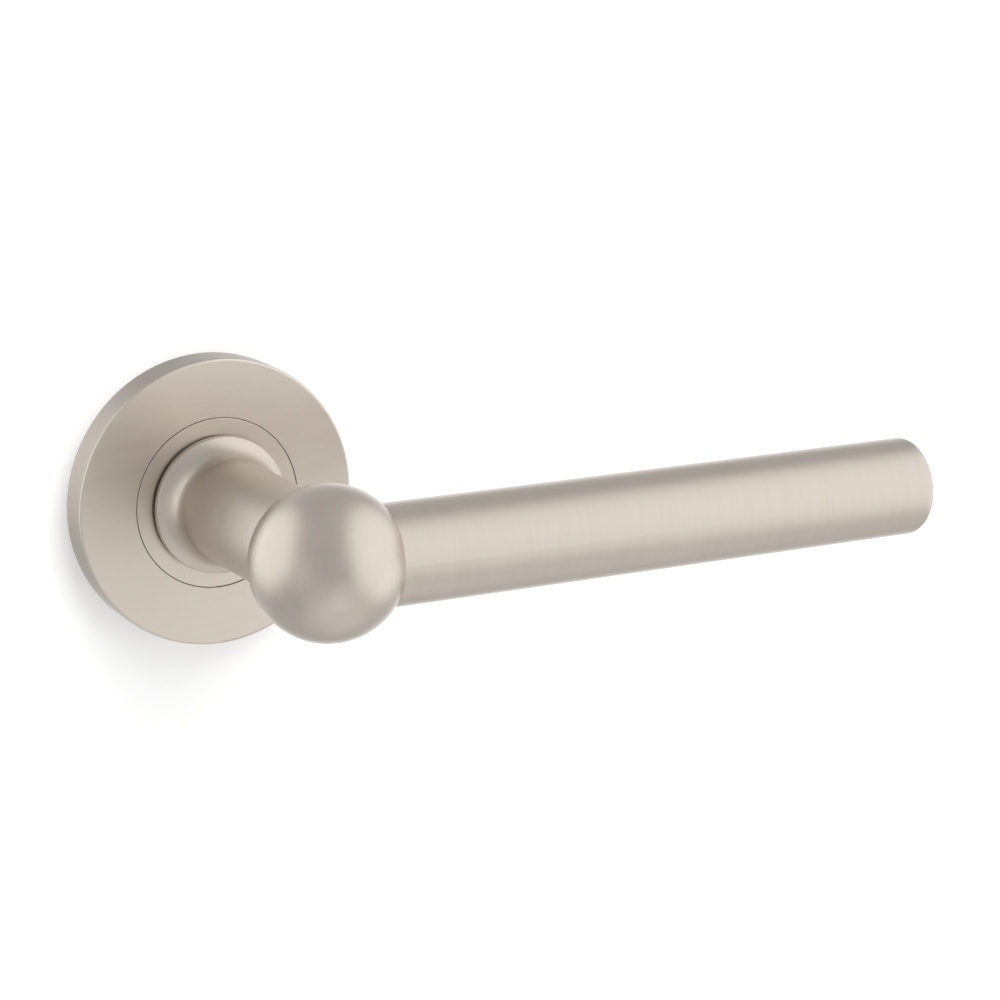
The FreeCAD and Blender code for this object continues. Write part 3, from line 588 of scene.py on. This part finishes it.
def stage_piece(name, points, faces, material):
    """A flat stage piece. Each face shows on the side its corners run anticlockwise on."""
    mesh = bpy.data.meshes.new(name)
    mesh.from_pydata(points, [], faces)
    mesh.materials.append(material)
    piece = bpy.data.objects.new(name, mesh)
    bpy.context.scene.collection.objects.link(piece)
    piece.visible_glossy = False
    piece.visible_shadow = False


def make_wall():
    """A round sheet on the door's face, with a hole behind the mounting plate to see in from behind."""
    points = []
    for radius in (WALL_HOLE_R, WALL_R):
        for i in range(WALL_SIDES):
            angle = 2 * math.pi * i / WALL_SIDES
            points.append((radius * math.cos(angle), -WALL_GAP, radius * math.sin(angle)))
    faces = []
    for i in range(WALL_SIDES):
        after = (i + 1) % WALL_SIDES
        faces.append((i, WALL_SIDES + i, WALL_SIDES + after, after))
    stage_piece("wall", points, faces, one_sided_paint("wall_paint", WALL_GREY))


def make_floor():
    half = FLOOR_HALF
    corners = [(-half, -half), (half, -half), (half, half), (-half, half)]
    points = [(x, y, FLOOR_Z) for x, y in corners]
    stage_piece("floor", points, [(0, 1, 2, 3)], one_sided_paint("floor_paint", FLOOR_GREY))


def outward(azimuth, elevation):
    """A unit vector. Azimuth 0 points to -Y and 90 to +X, and elevation is up from level."""
    a, e = math.radians(azimuth), math.radians(elevation)
    return Vector((math.sin(a) * math.cos(e), -math.cos(a) * math.cos(e), math.sin(e)))


def make_studio():
    """An even room with large soft lights in it, all of them far enough away to have no edge."""
    world = bpy.data.worlds.new("studio")
    world.use_nodes = True
    nodes = world.node_tree.nodes
    links = world.node_tree.links
    direction = nodes.new("ShaderNodeTexCoord").outputs["Generated"]
    total = None
    for name, (azimuth, elevation, half_width, edge, strength) in SOFTBOXES.items():
        facing = nodes.new("ShaderNodeVectorMath")
        facing.label = name
        facing.operation = "DOT_PRODUCT"
        facing.inputs[1].default_value = outward(azimuth, elevation)
        links.new(direction, facing.inputs[0])
        glow = nodes.new("ShaderNodeMapRange")
        glow.interpolation_type = "SMOOTHSTEP"
        outer, inner = half_width + edge / 2, max(0.0, half_width - edge / 2)
        glow.inputs["From Min"].default_value = math.cos(math.radians(outer))
        glow.inputs["From Max"].default_value = math.cos(math.radians(inner))
        glow.inputs["To Min"].default_value = 0.0
        glow.inputs["To Max"].default_value = strength
        links.new(facing.outputs["Value"], glow.inputs["Value"])
        added = nodes.new("ShaderNodeMath")
        added.operation = "ADD"
        added.inputs[1].default_value = ROOM_LEVEL
        if total:
            links.new(total, added.inputs[1])
        links.new(glow.outputs["Result"], added.inputs[0])
        total = added.outputs[0]
    links.new(total, nodes["Background"].inputs["Strength"])
    nodes["Background"].inputs["Color"].default_value = (1.0, 1.0, 1.0, 1.0)
    bpy.context.scene.world = world


def make_wall_light():
    """A softbox above and to the right that lights the wall and casts the soft shadow on it."""
    out = outward(WALL_LIGHT_AZIMUTH, WALL_LIGHT_ELEVATION)
    data = bpy.data.lights.new("wall_light", "AREA")
    data.shape = "SQUARE"
    data.size = WALL_LIGHT_SIZE
    data.energy = WALL_LIGHT_POWER
    light = bpy.data.objects.new("wall_light", data)
    light.location = out * WALL_LIGHT_DISTANCE
    light.rotation_mode = "QUATERNION"
    light.rotation_quaternion = (-out).to_track_quat("-Z", "Y")
    light.visible_camera = False
    light.visible_glossy = False
    bpy.context.scene.collection.objects.link(light)


def make_camera():
    data = bpy.data.cameras.new("camera")
    data.lens = CAMERA_LENS_MM
    data.sensor_width = SENSOR_MM
    data.clip_start = NEAR_CLIP
    data.clip_end = FAR_CLIP
    camera = bpy.data.objects.new("camera", data)
    look = CAMERA_AIM - CAMERA_PLACE
    camera.location = CAMERA_PLACE
    camera.rotation_mode = "QUATERNION"
    roll = Quaternion((0.0, 0.0, 1.0), math.radians(CAMERA_ROLL_DEG))
    camera.rotation_quaternion = look.to_track_quat("-Z", "Y") @ roll
    bpy.context.scene.collection.objects.link(camera)
    bpy.context.scene.camera = camera


# ---------------------------------------------------------------- build

material_of = {}
for material, nodes in make_materials().items():
    for node in nodes:
        material_of[node] = material
        for material_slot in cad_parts[node].material_slots:
            material_slot.material = material

make_threaded_bolts(material_of["fixing_bolts"])
make_twisting_spring(material_of["return_spring"])
make_wall()
make_floor()
make_studio()
make_wall_light()
make_camera()
bpy.context.scene.view_settings.view_transform = "Standard"
